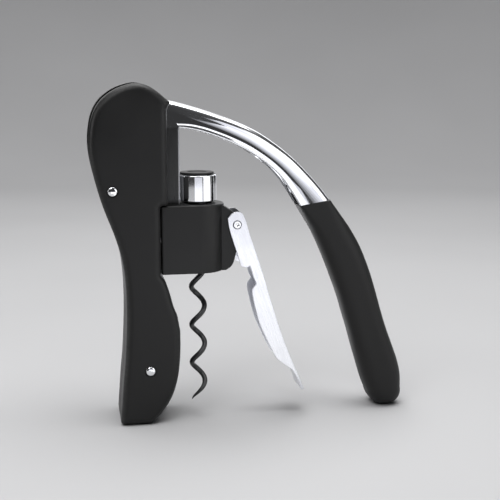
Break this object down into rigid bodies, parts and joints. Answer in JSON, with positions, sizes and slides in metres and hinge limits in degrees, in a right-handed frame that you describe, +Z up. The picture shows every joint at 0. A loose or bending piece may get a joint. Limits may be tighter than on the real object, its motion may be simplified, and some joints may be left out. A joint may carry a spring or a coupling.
{
  "type": "lever corkscrew",
  "caption": "Lever corkscrew with a split-shell body, a geared swing lever with a soft grip, a rack-driven worm, a bottle collar and a front neck clamp.",
  "frame": {"origin": "on the ground, under the middle of the whole corkscrew as it stands on its body and the tip of its lever", "axes": "+X from the body towards the lever's grip, +Y away from the near side cover, +Z up along the worm"},
  "size_m": [0.165, 0.0358, 0.1733],
  "materials": {
    "cover_plastic": "satin black moulded plastic",
    "collar_plastic": "satin black moulded plastic",
    "grip_rubber": "soft black rubber",
    "soft_rubber": "black rubber",
    "chrome": "polished chrome plating",
    "clamp_steel": "bright pressed steel",
    "steel": "plain machined steel",
    "guide": "black coated steel with bright front edges",
    "worm_coating": "smooth dark non-stick coating",
    "bearing_plastic": "natural acetal"
  },
  "bodies": {
    "housing": {"near_side_cover": "cover_plastic", "far_side_cover": "cover_plastic", "spine_channel": "steel", "slide_guide": "guide", "guide_pin_1": "steel", "guide_pin_2": "steel", "neck_saddle": "soft_rubber", "foot_pad": "soft_rubber", "rivet_upper": "chrome", "rivet_lower": "chrome", "lever_axle": "steel", "axle_bush_near": "bearing_plastic", "axle_bush_far": "bearing_plastic", "lever_stop": "soft_rubber", "collar": "collar_plastic", "collar_screw_near": "steel", "collar_screw_far": "steel", "rim_seat": "soft_rubber", "worm_nut": "bearing_plastic", "nut_retaining_ring": "steel", "clamp_pin": "chrome", "clamp_spring": "steel"},
    "lever": {"lever_arm": "chrome", "lever_grip": "grip_rubber", "drive_gear": "steel", "gear_pin_1": "steel", "gear_pin_2": "steel", "gear_pin_3": "steel"},
    "carriage": {"slide_rack": "steel", "carriage_hub": "chrome", "hub_cap": "cover_plastic", "thrust_washer": "bearing_plastic", "hub_screw_upper": "steel", "hub_screw_lower": "steel"},
    "spindle": {"worm": "worm_coating"},
    "clamp": {"neck_clamp": "clamp_steel"}
  },
  "joints": [
    {"name": "lever_swing", "type": "hinge", "parent": "housing", "child": "lever", "pos_m": [-0.06005, 0, 0.1485], "axis": [0, -1, 0], "range_deg": [0, 200]},
    {"name": "carriage_slide", "type": "slide", "parent": "housing", "child": "carriage", "axis": [0, 0, 1], "range_m": [0, 0.06705]},
    {"name": "worm_spin", "type": "hinge", "parent": "carriage", "child": "spindle", "pos_m": [-0.02765, 0, 0.1], "axis": [0, 0, 1], "range_deg": [0, 1183]},
    {"name": "clamp_pivot", "type": "hinge", "parent": "housing", "child": "clamp", "pos_m": [-0.00815, 0, 0.1015], "axis": [0, 1, 0], "range_deg": [0, 20], "stiffness_Nm_per_rad": 0.03, "springref_deg": -34.38}
  ],
  "couplings": [
    {"joint": "carriage_slide", "follows": "lever_swing", "m_per_rad": 0.0192},
    {"joint": "worm_spin", "follows": "lever_swing", "ratio": 5.9136}
  ]
}
